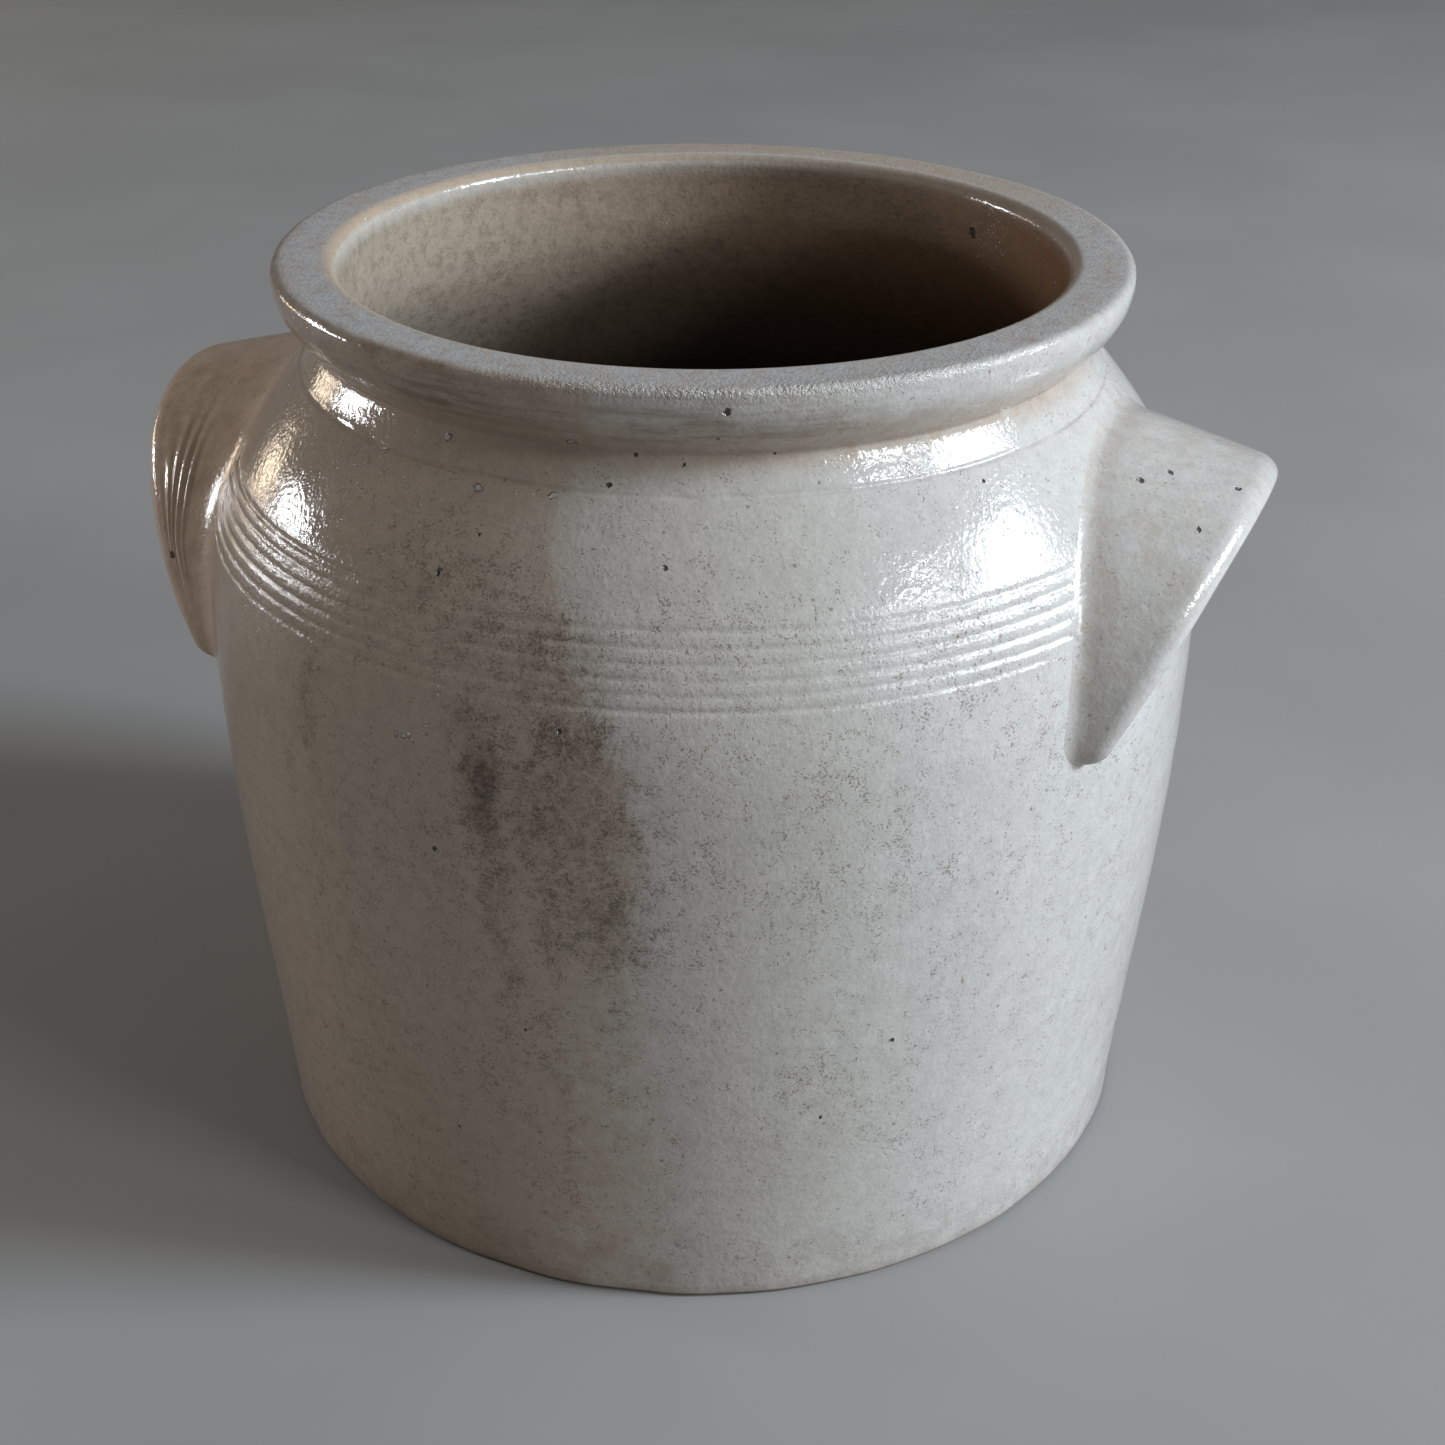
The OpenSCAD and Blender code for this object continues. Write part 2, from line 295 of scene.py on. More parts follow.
def pressed_lines(points):
    """Depth of the combed lines and of the ledge's line, which waver and which the glaze fills unevenly."""
    circle = points * [1, 1, 0]
    worn = 1 - WORN_SHARE * np.exp(-(((azimuth_of(points) - WORN_AZIMUTH) / WORN_WIDTH) ** 2))
    lines = [(COMB_TOP_Z - i * COMB_PITCH, COMB_W, COMB_DEPTH * worn) for i in range(COMB_COUNT)]
    lines.append((LEDGE_Z - SCORE_W / 2, SCORE_W, SCORE_DEPTH))
    relief = np.zeros(len(points))
    for i, (z, width, depth) in enumerate(lines):
        waver = LINE_WAVER * wave(circle, 24, 3 + i)
        filled = 0.75 + 0.6 * wave(circle, 26, 13 + i) + 0.5 * wave(circle, 190, 23 + i)
        off = (points[:, 2] - z - waver) / width
        groove = np.where(np.abs(off) < 0.5, 0.5 + 0.5 * np.cos(2 * math.pi * off), 0)
        relief -= depth * np.clip(filled, 0.2, 1.2) * groove
    return relief * (1 - lug_cover(points))


def mesh_object(name, points, faces, uv=None):
    """A smooth-shaded mesh object, with a place in its texture for each corner of each face."""
    mesh = bpy.data.meshes.new(name)
    mesh.from_pydata([tuple(p) for p in points], [], [tuple(map(int, f)) for f in faces])
    mesh.polygons.foreach_set("use_smooth", [True] * len(mesh.polygons))
    if uv is not None:
        layer = mesh.uv_layers.new(name="OFBake")
        layer.data.foreach_set("uv", np.asarray(uv, np.float32).ravel())
    mesh.update()
    piece = bpy.data.objects.new(name, mesh)
    bpy.context.scene.collection.objects.link(piece)
    return piece


def grid_skin(v, columns, order):
    """Faces of a grid of closed rings with a middle point at each end, and their places in the texture.

    v says how far up the texture each ring lies, and order the turn in which a face names its corners.
    """
    n = len(v)
    i = np.arange(columns)
    k = (i + 1) % columns
    left, right, middle = i / columns, (i + 1) / columns, (i + 0.5) / columns
    zero, one = np.zeros(columns), np.ones(columns)
    end = np.full(columns, n * columns)
    last = (n - 1) * columns
    faces, uv = [], []

    def add(corners, places):
        turn = [q for q in order if q < len(corners)]
        faces.extend(np.stack([corners[q] for q in turn], 1).tolist())
        uv.append(np.stack([value for q in turn for value in places[q]], 1).ravel())

    for j in range(n - 1):
        near, far = j * columns, (j + 1) * columns
        low, high = zero + v[j], zero + v[j + 1]
        add([near + i, far + i, far + k, near + k], [(left, low), (left, high), (right, high), (right, low)])
    add([end, i, k], [(middle, zero), (left, zero + v[0]), (right, zero + v[0])])
    add([end + 1, last + k, last + i], [(middle, one), (right, zero + v[-1]), (left, zero + v[-1])])
    return faces, np.concatenate(uv)


def set_masks(piece, masks):
    """Writes soft masks for the glaze on a piece's points."""
    for name, values in masks.items():
        attribute = piece.data.attributes.new(name, "FLOAT", "POINT")
        attribute.data.foreach_set("value", np.asarray(values, np.float32))


# Brown marks in the glaze: [azimuth, height, half width in degrees, half height, strength]
STAINS = [
    (-5.2, 0.125, 1.9, 0.011, 1.0),
    (-4.6, 0.113, 1.6, 0.016, 0.55),
    (-6.0, 0.136, 3.4, 0.008, 0.55),
    (5.0, 0.137, 4.5, 0.009, 0.72),
    (4.0, 0.122, 7.5, 0.016, 0.62),
    (7.0, 0.101, 4.4, 0.014, 0.66),
    (1.8, 0.104, 1.1, 0.026, 0.50),
    (-3.6, 0.092, 1.6, 0.020, 0.40),
    (8.0, 0.076, 2.6, 0.022, 0.26),
    (1.6, 0.058, 1.4, 0.034, 0.26),
    (-2.0, 0.052, 2.6, 0.030, 0.16),
    (-28.0, 0.130, 1.6, 0.012, 0.42),
    (-24.0, 0.108, 5.0, 0.022, 0.16),
    (2.0, 0.150, 5.5, 0.008, 0.50),
    (-8.0, 0.151, 7.0, 0.010, 0.25),
    (-15.0, 0.162, 11.0, 0.010, 0.22),
    (-128.0, 0.110, 4.0, 0.030, 0.55),
    (-141.0, 0.128, 6.0, 0.018, 0.45),
    (158.0, 0.100, 3.0, 0.034, 0.35),
]

# Patches where the glaze is thick with fine specks
SPECKLES = [
    (16.0, 0.140, 8.0, 0.012, 0.95),
    (14.0, 0.118, 6.0, 0.020, 0.80),
    (27.0, 0.128, 10.0, 0.016, 0.75),
    (27.0, 0.104, 8.0, 0.016, 0.85),
    (36.0, 0.112, 8.0, 0.020, 0.60),
    (40.0, 0.140, 12.0, 0.010, 0.65),
    (12.0, 0.092, 8.0, 0.020, 0.55),
    (-8.0, 0.112, 12.0, 0.026, 0.60),
    (-22.0, 0.128, 10.0, 0.016, 0.45),
    (-8.0, 0.088, 8.0, 0.014, 0.45),
    (30.0, 0.052, 10.0, 0.018, 0.55),
    (14.0, 0.036, 8.0, 0.020, 0.40),
    (2.0, 0.030, 10.0, 0.020, 0.35),
    (10.0, 0.160, 24.0, 0.010, 0.45),
    (-16.0, 0.162, 13.0, 0.012, 0.95),
    (-10.0, 0.150, 12.0, 0.009, 0.90),
    (-28.0, 0.146, 12.0, 0.012, 0.70),
    (4.0, 0.141, 9.0, 0.008, 0.80),
    (20.0, 0.152, 14.0, 0.009, 0.60),
    (-20.0, 0.060, 18.0, 0.040, 0.45),
    (62.0, 0.120, 12.0, 0.030, 0.30),
    (-120.0, 0.120, 20.0, 0.040, 0.60),
    (150.0, 0.110, 24.0, 0.040, 0.60),
]

# Brown marks on the collar
COLLAR_STAINS = [
    (-16, 0.193, 10, 0.006, 1.0),
    (14, 0.192, 22, 0.005, 0.75),
    (-60, 0.192, 30, 0.006, 0.35),
]

# How fast a mark fades away from its middle
MARK_FALL = 0.7

# Where a soft band starts, is full, ends and is gone: heights of the combed lines and of the
# painted shade in the cove, azimuths of the gritty edge and its painted glints, and distances out
# from the wall of a lug's joint and its painted shade
COMB_BAND = (0.139, 0.143, 0.158, 0.161)
COVE_SHADE_BAND = (LEDGE_Z + 0.001, NECK_Z, NECK_Z + 0.005, NECK_Z + 0.010)
GRIT_GLINT_BAND = (-20, 5, 35, 75)
JOINT_SHADE_BAND = (0.0003, 0.0012, 0.0015, 0.007)

# Where the brown side of the glaze ends, as the azimuth at each height, and how soft its border is
EDGE_Z = [0.0, 0.060, 0.100, 0.116, 0.132, 0.142, 0.150, 0.158, 0.166, 0.176, 0.185, 0.200]
EDGE_AZIMUTH = [8.0, 9.0, 10.0, 11.5, 9.0, 6.0, 3.5, 3.0, 0.5, -1.0, 4.0, 4.0]
EDGE_SOFT = 12
EDGE_SOFTER = 110
EDGE_SOFT_Z = (0.045, 0.105)


def marks(azimuth, z, spots):
    """Soft patches at the given places, the strongest one at each point."""
    amount = np.zeros(len(z))
    for a, h, da, dh, strength in spots:
        away = ((azimuth - a) / da) ** 2 + ((z - h) / dh) ** 2
        amount = np.maximum(amount, strength * np.exp(-MARK_FALL * away))
    return amount


def body_masks(points, row, first):
    """Soft masks of the pot's glaze at each point, from its place and its row in the profile."""
    azimuth = azimuth_of(points)
    z = points[:, 2]
    outer = row < first["top"]
    stray_azimuth = azimuth + 1.6 * wave(points, 60, 41) + 0.8 * wave(points, 170, 43)
    stray_z = z + 0.004 * wave(points, 50, 42)
    soft = EDGE_SOFT + EDGE_SOFTER * (1 - smooth_step(z, *EDGE_SOFT_Z))
    collar = outer * smooth_step(z, NECK_Z + 0.001, NECK_Z + 0.005)
    edge_mid = 0.5 * (first["edge"] + first["top"])
    on_edge = np.exp(-((row - edge_mid) / 4.0) ** 2)
    rim_rows = [edge_mid - 1, first["top"] + 1, first["lip"] - 1, first["lip"] + 2]
    return {
        "stain": marks(stray_azimuth, stray_z, STAINS) * outer * (1 - collar),
        "speckle": marks(stray_azimuth, stray_z, SPECKLES) * outer,
        "edge": np.clip(0.5 + (np.interp(z, EDGE_Z, EDGE_AZIMUTH) - azimuth) / soft, 0, 1),
        "brown_side": smooth_step(azimuth, -180, -100),
        # Browner towards the left side; the extra brown low down is painted shade near the floor
        "warm": smooth_step(-azimuth, -62, 40) * (1.4 - 0.4 * smooth_step(z, 0.02, 0.09)),
        "collar": collar * marks(azimuth, z, COLLAR_STAINS),
        # The cove's mask is where shade under the collar is painted
        "cove": outer * band(z, *COVE_SHADE_BAND),
        "comb": outer * band(z, *COMB_BAND),
        "rim": np.interp(row, rim_rows, [0, 1, 1, 0]),
        "rim_back": smooth_step(np.abs(azimuth + 5), 115, 155),
        "rim_edge": on_edge * (0.25 + 0.75 * smooth_step(-azimuth, -40, 25)),
        # The rim's gritty outer edge, where its glints are painted
        "grit_and_glint": on_edge * band(azimuth, *GRIT_GLINT_BAND),
        "lip": np.interp(row, [first["lip"], first["inner"]], [0, 1]),
        "inside": np.interp(row, [first["lip"] + 1, first["throat"]], [0, 1]),
        "inside_brown": 0.5 + 0.5 * np.cos(np.radians(azimuth - 105)),
        "bare_and_shade": outer * (1 - smooth_step(z, 0.0006, 0.0018)),
        "foot": outer * (1 - smooth_step(z, 0.002, 0.022)),
    }


def crock_body():
    """The thrown pot as a turned grid of faces, with the unevenness of hand work."""
    rows, first = profile()
    u = np.linspace(-math.pi, math.pi, COLUMNS, endpoint=False)
    azimuth = math.radians(FRONT_AZIMUTH) + u - FRONT_DENSITY * np.sin(u)
    around = np.stack([np.sin(azimuth), -np.cos(azimuth)], 1)
    inner_rows = rows[1:-1]
    count = len(inner_rows)
    tangent = np.gradient(inner_rows, axis=0)
    normal = unit(np.stack([tangent[:, 1], -tangent[:, 0]], 1))
    points = np.empty((count, COLUMNS, 3))
    points[:, :, :2] = inner_rows[:, None, :1] * around[None]
    points[:, :, 2] = inner_rows[:, None, 1]
    flat = points.reshape(-1, 3)
    out = np.empty_like(points)
    out[:, :, :2] = normal[:, None, :1] * around[None]
    out[:, :, 2] = normal[:, None, 1]
    out = out.reshape(-1, 3)

    row = np.repeat(np.arange(1, count + 1), COLUMNS)
    outer = row < first["top"]
    z = flat[:, 2]
    relief = uneven(flat)
    pressed = outer & (z > COMB_TOP_Z - COMB_COUNT * COMB_PITCH) & (z < LEDGE_Z + 0.001)
    relief[pressed] += pressed_lines(flat[pressed])
    collar = outer * smooth_step(z, NECK_Z + 0.003, NECK_Z + 0.006)
    relief += collar * COLLAR_STREAK * wave(flat * [0.10, 0.10, 1], 800, 5)
    foot = outer * (1 - smooth_step(z, 0.001, 0.010))
    stray = foot * FOOT_STRAY * wave(flat * [1, 1, 0.3], 70, 6)
    moved = flat + out * relief[:, None]
    moved[:, :2] += np.tile(around, (count, 1)) * stray[:, None]
    moved[:, 2] = np.maximum(moved[:, 2], 0)

    run = np.concatenate([[0], np.cumsum(np.linalg.norm(np.diff(rows, axis=0), axis=1))])
    faces, uv = grid_skin(run[1:-1] / run[-1], COLUMNS, POT_ORDER)
    ends = np.array([[0, 0, rows[0, 1]], [0, 0, rows[-1, 1]]])
    piece = mesh_object("thrown_body", np.concatenate([moved, ends]), faces, uv)
    all_rows = np.concatenate([row, [0, count + 1]])
    set_masks(piece, body_masks(np.concatenate([flat, ends + [0, -1e-6, 0]]), all_rows, first))
    return piece


def on_wall(p):
    """A point given as [across, height, distance out from the wall] in the pot's own space."""
    r = wall_r(p[..., 1]) + p[..., 2]
    return np.stack([np.sqrt(r**2 - p[..., 0] ** 2), p[..., 0], p[..., 1]], -1)


def lug_lines(lug):
    """Lines that a hooded ear follows from one leg's end over its arch to the other's, in wall places."""
    top = LUG_LIMIT_Z - lug["lute"]
    arch_h = lug["height"] - LEG_H
    leg_s = ARCH_SHARE + (1 - ARCH_SHARE) * np.sin(np.pi / 2 * np.arange(1, LEG_STEPS + 1) / LEG_STEPS)
    s = np.concatenate([-leg_s[::-1], ARCH_SHARE * np.linspace(-1, 1, ARCH_STEPS + 1), leg_s])
    side = np.sign(s)
    angle = np.pi / 2 * np.minimum(np.abs(s) / ARCH_SHARE, 1)
    leg = np.maximum(0, (np.abs(s) - ARCH_SHARE) / (1 - ARCH_SHARE))
    above = lug["height"] - LEG_H * leg - arch_h * (1 - np.cos(angle))
    slab_round, lip_round = (np.sqrt(1 - (1 - np.clip(above / h, 0, 1)) ** 2) for h in END_ROUND)
    width = (LEG_END_WIDTH + (1 - LEG_END_WIDTH) * slab_round)[:, None]

    zero = np.zeros_like(s)
    inward = np.stack([-side * np.sin(angle), -np.cos(angle), zero], 1)
    root = np.stack([side * LUG_HALF_W * np.sin(angle),
                     top - arch_h * (1 - np.cos(angle)) - LEG_H * leg, zero], 1)
    low_z = top - lug["height"] + LIP_LOW_RISE
    low_x = math.sqrt((wall_r(low_z) + LEG_STAND) ** 2 - LIP_HALF_W**2)
    rise = top - LUG_FALL - low_z
    up = np.cos(angle) - leg * (LIP_LOW_RISE - LIP_END_RISE) / rise
    x = low_x + (BELLY_R + lug["reach"] - low_x) * up
    y = side * LIP_HALF_W * np.sin(angle)
    z = low_z + rise * up
    lip = np.stack([y, z, np.hypot(x, y) - wall_r(z)], 1)
    lip[:, 2] *= LEG_END_STAND + (1 - LEG_END_STAND) * lip_round
    root = root + inward * LUG_T * (1 - width) / 2
    lip = lip + inward * LIP_T * (1 - width) / 2
    return s, angle, width, inward, root, lip


def hooded_lug(name, lug, folds, seed):
    """One hooded ear: a slab pulled over the fingers and smeared on to the wall, with feathered edges."""
    s, angle, width, inward, root, lip = lug_lines(lug)
    sunk = np.array([0, 0, -LUG_SEAT])
    fillet = lug["fillet"] * width
    inner_root = root + inward * LUG_T * width
    outer_toe = root - inward * fillet
    inner_toe = inner_root + inward * fillet
    out = unit(lip - root)
    across = unit(inward - out * np.sum(out * inward, 1, keepdims=True))
    span = np.linalg.norm(lip - root, axis=1, keepdims=True)
    nose_r = np.minimum(LIP_T * width / 2, 0.4 * span)
    outer_end = lip - out * nose_r
    nose = outer_end + across * nose_r
    inner_end = nose + across * nose_r
    face = np.minimum(1.3 * fillet, 0.6 * np.linalg.norm(outer_end - root, axis=1, keepdims=True))
    outer_face = root + out * face
    inner_face = inner_root + unit(inner_end - inner_root) * face

    def bend(a, corner, b, steps):
        """Lines that round off a corner between two others."""
        t = np.linspace(0, 1, steps, endpoint=False)
        return [(1 - q) ** 2 * a + 2 * (1 - q) * q * corner + q**2 * b for q in t]

    section = [outer_toe + 6 * sunk]
    section += bend(outer_toe + sunk, root, outer_face, OUTER_BEND_STEPS)
    arch = smooth_step(np.cos(angle), 0.05, 0.5)[:, None]
    pulled = sum(strength * np.exp(-(((s - at) / wide) ** 2)) for at, wide, strength in FOLD_PLACES)[:, None]
    for t in np.linspace(0, 1, SLAB_STEPS, endpoint=False):
        place = np.stack([s * 2.2, np.full_like(s, t * 2.6), np.full_like(s, seed)], 1)
        wander = wave(place, 1.0, seed)[:, None]
        broad = wave(place * [1.4, 0.7, 1], 1.0, seed + 1)[:, None]
        fine = wave(place * [0.8, 3.4, 1], 1.0, seed + 2)[:, None]
        swell = 0.5 - 0.5 * np.cos(2 * np.pi * (FOLD_COUNT * t + 0.8 * wander))
        ease = math.sin(math.pi * t) ** 0.6
        fold = FOLD_DEPTH * swell * pulled + FOLD_BROAD * broad + FOLD_FINE * fine
        section.append(outer_face + (outer_end - outer_face) * t - across * folds * fold * ease * arch)
    for t in np.linspace(0, math.pi, NOSE_STEPS):
        section.append(nose + nose_r * (out * math.sin(t) - across * math.cos(t)))
    for t in np.linspace(0, 1, UNDER_STEPS + 1)[1:-1]:
        section.append(inner_end + (inner_face - inner_end) * t)
    section += bend(inner_face, inner_root, inner_toe + sunk, INNER_BEND_STEPS)
    section.append(inner_toe + 6 * sunk)

    grid = np.stack(section, 1)
    n, m = grid.shape[:2]
    tips = [root[k] + inward[k] * LUG_T * width[k] / 2 + [0, -TIP_DROP, -TIP_DROP] for k in (0, -1)]
    wall_places = np.concatenate([grid.reshape(-1, 3), np.array(tips)])
    turn = np.array(Matrix.Rotation(-math.radians(lug["toe"]), 3, "Z"))
    mirror = np.array([lug["side"], 1, 1])
    points = on_wall(wall_places) @ turn.T * mirror
    base = on_wall(wall_places * [1, 1, 0]) @ turn.T * mirror
    stand = wall_places[:, 2]
    free = smooth_step(stand, 0.0005, 0.005)
    stray = uneven(base) + free * LUG_STRAY * wave(points, 35, seed)
    points = points + stray[:, None] * unit(points * [1, 1, 0])

    v = UV_END + (1 - 2 * UV_END) * np.linspace(0, 1, n)
    faces, uv = grid_skin(v, m, LUG_ORDER[lug["side"]])
    piece = mesh_object(name, points, faces, uv)
    section_at = np.concatenate([np.tile(np.arange(m), n), [0, 0]])
    set_masks(piece, {
        # The lip's rounding, where a highlight is painted
        "lug_lip_highlight": np.exp(-((section_at - NOSE_AT) / 7.0) ** 2),
        # Where shade is painted: near the joint with the wall, and under the hood
        "lug_joint_shade": band(stand, *JOINT_SHADE_BAND),
        "lug_under_shade": (section_at > NOSE_AT + 6) * 1.0,
    })
    return piece


class Nodes:
    """Short calls for building a node tree."""

    def __init__(self, tree):
        self.tree = tree
        tree.nodes.clear()
        place = tree.nodes.new("ShaderNodeTexCoord")
        self.place = place.outputs["Object"]

    def node(self, kind, inputs=None, **settings):
        """A new node, with a value or a link for each named input."""
        made = self.tree.nodes.new(kind)
        for key, value in settings.items():
            setattr(made, key, value)
        for key, value in (inputs or {}).items():
            socket = made.inputs[key]
            if isinstance(value, bpy.types.NodeSocket):
                self.tree.links.new(value, socket)
            else:
                socket.default_value = value
        return made

    def mask(self, name):
        """A soft mask from the piece's points."""
        return self.node("ShaderNodeAttribute", attribute_name=name).outputs["Fac"]

    def noise(self, scale, detail=2.0, rough=0.5, stretch=None):
        """Cloudy noise round 0.5, which may be stretched along the axes."""
        place = self.place
        if stretch:
            place = self.node("ShaderNodeMapping", {"Vector": place, "Scale": stretch}).outputs[0]
        inputs = {"Vector": place, "Scale": scale, "Detail": detail, "Roughness": rough}
        return self.node("ShaderNodeTexNoise", inputs).outputs["Fac"]

    def dots(self, scale):
        """The distance to the nearest of many scattered points."""
        inputs = {"Vector": self.place, "Scale": scale}
        return self.node("ShaderNodeTexVoronoi", inputs).outputs["Distance"]

    def ramp(self, value, low, high, to_low=0.0, to_high=1.0):
        """A soft ramp from one value to another."""
        inputs = {"Value": value, "From Min": low, "From Max": high, "To Min": to_low, "To Max": to_high}
        made = self.node("ShaderNodeMapRange", inputs, interpolation_type="SMOOTHSTEP")
        return made.outputs["Result"]

    def math(self, operation, a, b=0.0, c=0.0):
        """One step of arithmetic on up to three values."""
        made = self.node("ShaderNodeMath", {0: a, 1: b, 2: c}, operation=operation)
        return made.outputs[0]

    def times(self, a, b):
        """The product of two values."""
        return self.math("MULTIPLY", a, b)

    def mix(self, share, a, b):
        """A colour between a and b, with a share of b."""
        a, b = ((*c, 1.0) if isinstance(c, tuple) else c for c in (a, b))
        return self.node("ShaderNodeMix", {0: share, 6: a, 7: b}, data_type="RGBA").outputs[2]

    def spots(self, places):
        """A mask of small round marks at the given points, each with its radius."""
        amount = 0.0
        ragged = self.ramp(self.noise(900, 2, 0.5), 0.3, 0.7, 0.65, 1.5)
        for x, y, z, radius in places:
            away = self.node("ShaderNodeVectorMath", {0: self.place, 1: (x, y, z)}, operation="DISTANCE")
            spot = self.ramp(self.times(away.outputs["Value"], ragged), radius, 0.45 * radius)
            amount = self.math("MAXIMUM", spot, amount)
        return amount


# Colours of the glaze and the clay, as linear light
GREY = (0.53, 0.515, 0.48)
# A paler tone of the glaze, also used for painted glints and highlights
PALE_AND_HIGHLIGHT = (0.58, 0.57, 0.54)
WARM_AND_SHADE = (0.415, 0.33, 0.255)
# Brown wash of the stains, also used as painted shade on the lugs
BROWN_WASH_AND_SHADE = (0.205, 0.142, 0.106)
STAIN = (0.075, 0.052, 0.042)
SPECK = (0.15, 0.095, 0.062)
PIT = (0.020, 0.014, 0.011)
RIM = (0.43, 0.425, 0.42)
RIM_BROWN = (0.20, 0.14, 0.10)
RIM_TAN = (0.40, 0.325, 0.235)
LIP_TAN = (0.47, 0.37, 0.27)
# Tone of the inner lip's white line, partly painted highlight, and of the rim's painted glints
LIP_WHITE_AND_GLINT = (0.58, 0.57, 0.53)
INSIDE = (0.345, 0.295, 0.23)
INSIDE_BROWN = (0.235, 0.13, 0.074)
INSIDE_MOTTLE = (0.17, 0.125, 0.088)
DEEP_GLAZE_AND_SHADE = (0.014, 0.008, 0.004)
# Bare clay, darkened to paint the shade where the foot meets the floor
BARE_CLAY_AND_SHADE = (0.21, 0.165, 0.12)
LUG_GREY = (0.56, 0.545, 0.52)
LUG_TAN = (0.50, 0.46, 0.40)
LUG_BROWN = (0.63, 0.485, 0.36)
LUG_DARK = (0.50, 0.37, 0.265)


outer_rows, outer_first = profile()
OUTER_SIDE = outer_rows[outer_first["foot"] + 1:outer_first["top"]]


def outer_place(azimuth, z):
    """The point of the pot's outer side at an azimuth in degrees and a height."""
    r = np.interp(z, OUTER_SIDE[:, 1], OUTER_SIDE[:, 0])
    a = math.radians(azimuth)
    return r * math.sin(a), -r * math.cos(a), z


# Larger dark pits, and raised pimples painted pale as glints: [azimuth, height, radius]
PITS = [
    (19.8, 0.1955, 0.00099), (18.8, 0.1895, 0.00056), (8.5, 0.1842, 0.00056), (14.7, 0.1828, 0.00050),
    (26.2, 0.1845, 0.00043), (5.3, 0.1790, 0.00056), (37.8, 0.0666, 0.00056), (30.2, 0.0494, 0.00056),
    (-13.0, 0.1620, 0.00081), (-9.3, 0.1690, 0.00043), (13.0, 0.1672, 0.00068), (-2.0, 0.0700, 0.00043),
    (-12.0, 0.0380, 0.00043), (3.0, 0.1390, 0.00062), (-11.0, 0.1090, 0.00068), (54.0, 0.1750, 0.00050),
    (-150.0, 0.1400, 0.00074), (170.0, 0.0900, 0.00062), (110.0, 0.0600, 0.00062),
    (-100.0, 0.0500, 0.00062),
]
MOUTH_PIT = (0.04648, 0.06071, 0.19020, 0.0013)
PIMPLES = [
    (-18.3, 0.1823, 0.00097), (0.5, 0.1865, 0.00113), (-11.5, 0.1758, 0.00113), (-1.5, 0.1766, 0.00090),
    (-14.2, 0.1320, 0.00068), (-13.5, 0.1324, 0.00060), (-15.0, 0.1322, 0.00068), (-13.0, 0.1316, 0.00045),
    (-160.0, 0.1500, 0.00097), (140.0, 0.1650, 0.00090),
]


def glaze_finish(n, colour, rough, extra_height, grain):
    """Grain in the colour, orange-peel relief and gloss, joined to the shader's output."""
    mottle = n.noise(250, 4, 0.75)
    value = n.math("MULTIPLY_ADD", n.math("SUBTRACT", mottle, 0.5), grain, 1.0)
    value = n.math("MULTIPLY_ADD", n.math("SUBTRACT", n.noise(1700, 2, 0.6), 0.5), 0.7 * grain, value)
    colour = n.node("ShaderNodeHueSaturation", {"Value": value, "Color": colour}).outputs[0]
    peel = n.noise(850, 2, 0.5)
    fine = n.noise(2300, 2, 0.5)
    swell = n.noise(110, 2, 0.5)
    height = n.math("MULTIPLY_ADD", fine, 0.15, peel)
    height = n.math("MULTIPLY_ADD", swell, 1.5, height)
    height = n.math("ADD", height, extra_height)
    bump = n.node("ShaderNodeBump", {"Strength": 1.0, "Distance": 0.0001, "Height": height})
    shader = n.node("ShaderNodeBsdfPrincipled", {
        "Base Color": colour, "Roughness": rough, "Normal": bump.outputs[0], "IOR": 1.5})
    n.node("ShaderNodeOutputMaterial", {"Surface": shader.outputs[0]})


